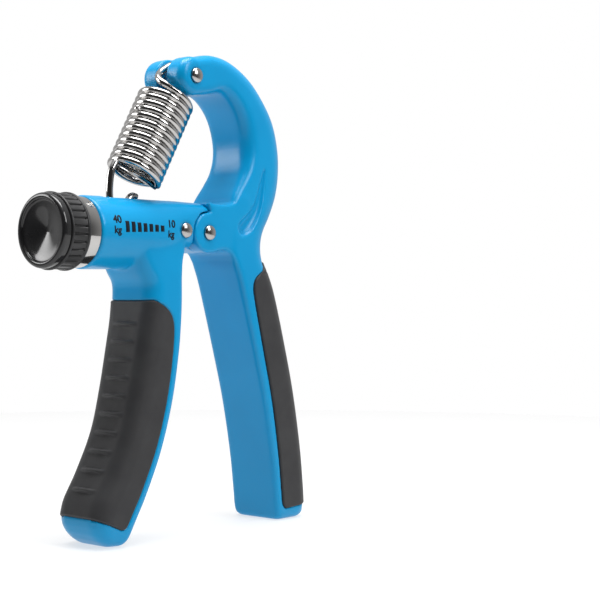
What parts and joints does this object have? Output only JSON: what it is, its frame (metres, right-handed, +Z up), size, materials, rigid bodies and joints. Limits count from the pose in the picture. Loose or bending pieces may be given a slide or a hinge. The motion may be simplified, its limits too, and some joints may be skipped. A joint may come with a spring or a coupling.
{
  "type": "adjustable hand grip strengthener",
  "caption": "Adjustable hand grip strengthener: blue plastic handles with black ribbed rubber pads, a chrome extension spring over the top and a force knob on the barrel.",
  "frame": {"origin": "on the ground under the middle of the object's width and thickness, standing on both handle ends", "axes": "+X towards the long handle, the knob at -X; +Y to the back; +Z up, from the feet to the top of the arm"},
  "size_m": [0.1081, 0.0236, 0.1536],
  "materials": {
    "blue_plastic": "bright blue moulded plastic, satin gloss",
    "black_rubber": "matte black soft rubber with moulded ribs",
    "black_plastic": "black moulded plastic, semi-matte",
    "black_gloss": "glossy black plastic",
    "chrome": "bright chrome plating",
    "rivet_steel": "nickel-plated steel",
    "steel": "zinc-plated steel",
    "brass": "turned brass",
    "nylon": "natural nylon"
  },
  "bodies": {
    "grip_body": {"short_handle": "blue_plastic", "short_handle_pad": "black_rubber", "pivot_rivet": "rivet_steel", "pivot_bush": "steel", "front_pivot_washer": "nylon", "back_pivot_washer": "nylon", "barrel_rivet": "rivet_steel", "collar": "chrome", "thrust_washer": "steel", "end_bush": "nylon"},
    "long_arm": {"long_handle": "blue_plastic", "long_handle_pad": "black_rubber", "top_rivet": "rivet_steel"},
    "knob_body": {"knob": "black_plastic", "knob_cap": "black_gloss", "adjusting_screw": "steel", "lock_nut": "steel", "lock_washer": "steel", "retaining_ring": "steel"},
    "slider_body": {"slider": "brass", "hook_pin": "steel"},
    "spring_head": {"hook_sleeve": "steel"},
    "spring_coil": {"spring_top": "chrome"},
    "spring_foot": {"spring_bottom": "chrome", "spring_hook": "chrome"}
  },
  "joints": [
    {"name": "handle_pivot", "type": "hinge", "parent": "grip_body", "child": "long_arm", "pos_m": [0.0057, 0, 0.096], "axis": [0, 1, 0], "range_deg": [0, 36], "stiffness_Nm_per_rad": 3, "springref_deg": -17.19},
    {"name": "knob_turn", "type": "hinge", "parent": "grip_body", "child": "knob_body", "pos_m": [-0.0443, 0, 0.0949], "axis": [1, 0, 0], "range_deg": [-451, 1441]},
    {"name": "slider_travel", "type": "slide", "parent": "grip_body", "child": "slider_body", "axis": [1, 0, 0], "range_m": [-0.0025, 0.008]},
    {"name": "hook_swing", "type": "hinge", "parent": "long_arm", "child": "spring_head", "pos_m": [0.0006, 0, 0.1458], "axis": [0, 1, 0], "range_deg": [-8.6, 0]},
    {"name": "coil_swing", "type": "hinge", "parent": "spring_head", "child": "spring_coil", "pos_m": [-0.0306, 0, 0.1694], "axis": [0, 1, 0], "range_deg": [-5.7, 1.8], "deforming": ["spring_top"]},
    {"name": "foot_swing", "type": "hinge", "parent": "spring_coil", "child": "spring_foot", "pos_m": [0.0058, 0, 0.0788], "axis": [0, 1, 0], "range_deg": [-23.8, 0], "deforming": ["spring_bottom", "spring_hook"]}
  ],
  "couplings": [
    {"joint": "knob_turn", "follows": "slider_travel", "rad_per_m": 3141.6},
    {"joint": "hook_swing", "follows": "handle_pivot", "ratio": -0.2347},
    {"joint": "coil_swing", "follows": "slider_travel", "rad_per_m": -12.13},
    {"joint": "foot_swing", "follows": "handle_pivot", "ratio": -0.6584}
  ]
}
